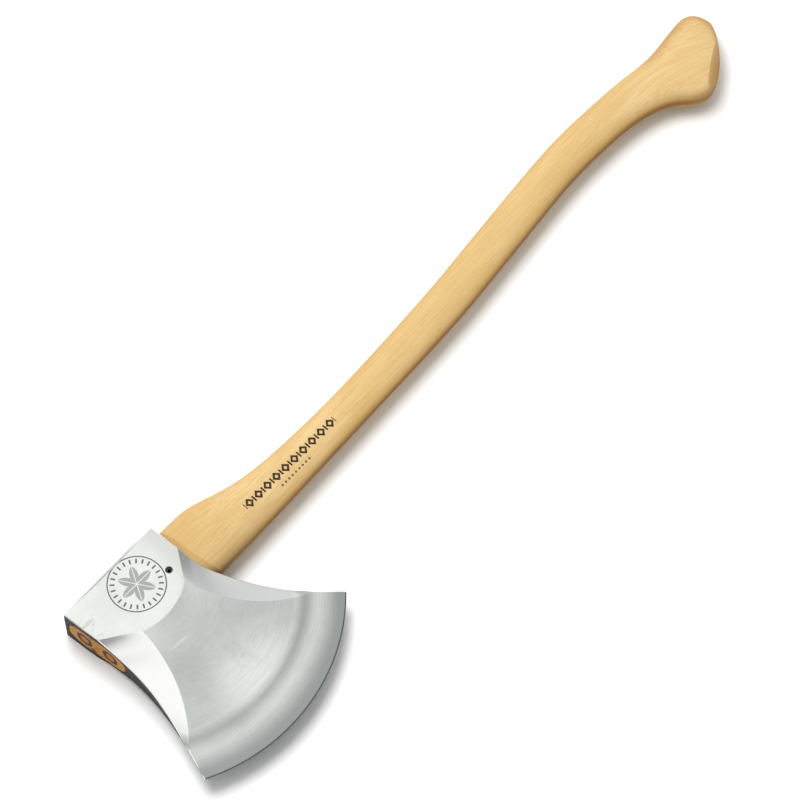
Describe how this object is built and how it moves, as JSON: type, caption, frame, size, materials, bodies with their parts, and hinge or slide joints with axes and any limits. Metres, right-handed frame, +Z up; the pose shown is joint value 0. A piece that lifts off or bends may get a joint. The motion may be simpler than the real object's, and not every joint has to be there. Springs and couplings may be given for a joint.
{
  "type": "broad axe",
  "caption": "Wide-blade axe: forged head with a fan-shaped bit and hollowed cheeks on a curved wooden haft, held by two oval ring wedges and a spring pin.",
  "frame": {"origin": "middle of the bounding box in plan, on the plane that the lower cheek rests on", "axes": "+X along the haft from the head to the knob, +Y from the cutting edge to the poll, +Z up through the thickness of the head as the axe lies on its side"},
  "size_m": [0.825, 0.2035, 0.046],
  "materials": {
    "head_steel": "satin ground, dark forged end faces",
    "haft_wood": "oiled pale hardwood",
    "wedge_steel": "blued steel",
    "pin_steel": "black oxide"
  },
  "bodies": {
    "root": {"axe_head": "head_steel", "haft": "haft_wood", "ring_wedge_poll": "wedge_steel", "ring_wedge_bit": "wedge_steel", "spring_pin": "pin_steel"}
  },
  "joints": []
}
